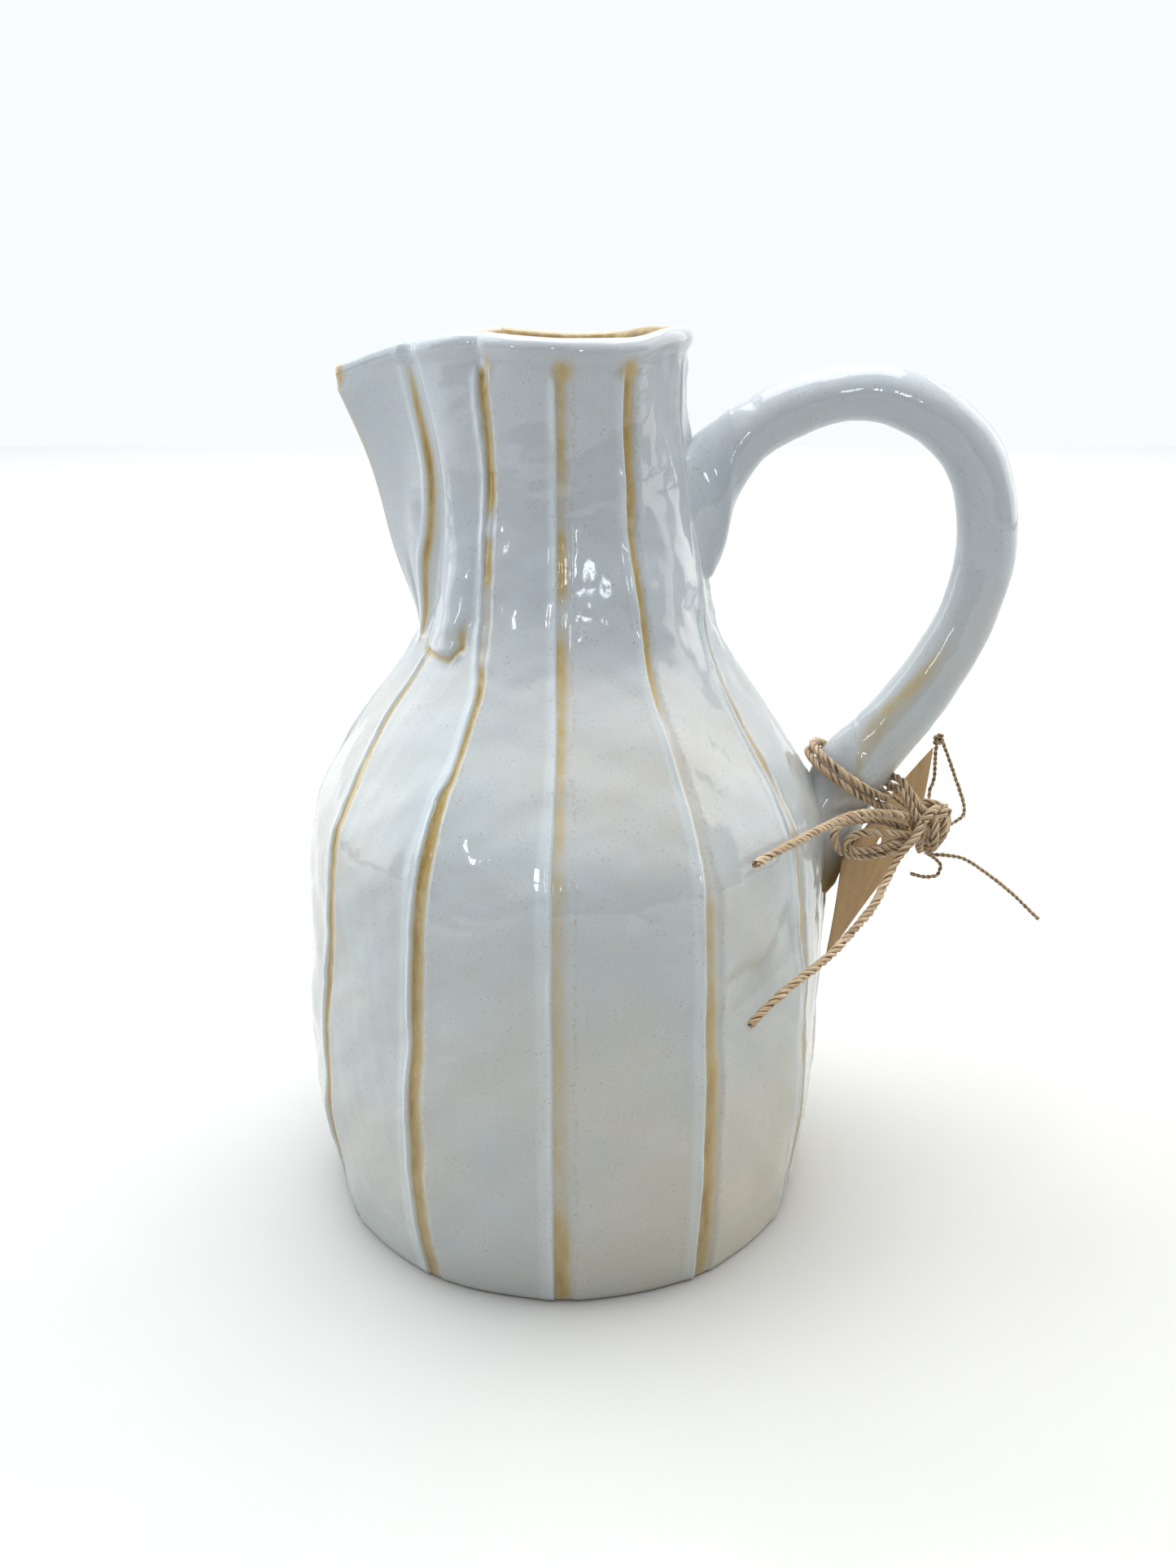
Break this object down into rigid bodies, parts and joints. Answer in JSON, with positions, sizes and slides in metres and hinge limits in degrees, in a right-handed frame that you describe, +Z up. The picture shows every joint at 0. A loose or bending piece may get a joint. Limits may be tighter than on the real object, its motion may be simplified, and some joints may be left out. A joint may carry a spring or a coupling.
{
  "type": "ceramic pitcher",
  "caption": "Tall glazed pitcher with panelled sides, a folded pouring spout, a looped side handle and a paper tag tied on with a twine bow.",
  "frame": {"origin": "centre of the flat underside, on the surface that the pitcher stands on", "axes": "+Z up, +X from the vessel's axis towards the handle, -X towards the pouring spout"},
  "size_m": [0.2113, 0.1528, 0.25],
  "materials": {
    "glaze": "glossy pale blue-grey glaze with fine grey-brown speckle, honey-coloured where it pools in the grooves",
    "clay_base": "glazed edge, bare matte clay underneath",
    "jute_twine": "twisted natural jute, matte and slightly hairy",
    "jute_string": "thin twisted natural jute string",
    "kraft_paper": "uncoated brown kraft card"
  },
  "bodies": {
    "pitcher": {"base_disc": "clay_base", "body_wall": "glaze", "neck": "glaze", "spout": "glaze", "handle": "glaze", "handle_upper_joint": "glaze", "handle_lower_joint": "glaze", "twine_wrap": "jute_twine", "twine_knot": "jute_twine", "twine_bow": "jute_twine", "twine_tail_upper": "jute_twine", "twine_tail_lower": "jute_twine", "tag_string_stem": "jute_string", "tag_string_ends": "jute_string", "tag_string_loop": "jute_string"},
    "tag": {"paper_tag": "kraft_paper"}
  },
  "joints": [
    {"name": "tag_turn", "type": "hinge", "parent": "pitcher", "child": "tag", "pos_m": [0.0939, 0.0138, 0.099], "axis": [0.84, -0.5173, -0.1635], "range_deg": [0, 25]}
  ]
}
